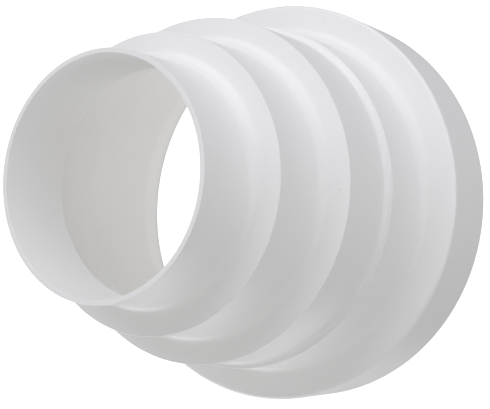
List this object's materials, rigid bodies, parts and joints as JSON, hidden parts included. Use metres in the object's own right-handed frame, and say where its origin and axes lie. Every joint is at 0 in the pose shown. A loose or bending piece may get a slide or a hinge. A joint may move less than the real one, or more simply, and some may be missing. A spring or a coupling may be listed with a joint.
{
  "type": "duct reducer",
  "caption": "Stepped round duct reducer of thin white plastic: coaxial push-in spigots of falling diameter joined by flat shoulders, open right through for air.",
  "frame": {"origin": "centre of the large end's rim, on the surface that the part stands on", "axes": "+Z along the duct axis, from the large end up to the small end; X and Y are free, because the part is round"},
  "size_m": [0.149, 0.149, 0.128],
  "materials": {
    "white_plastic": "smooth satin-gloss white moulded plastic"
  },
  "bodies": {
    "root": {"reducer_body": "white_plastic"}
  },
  "joints": []
}
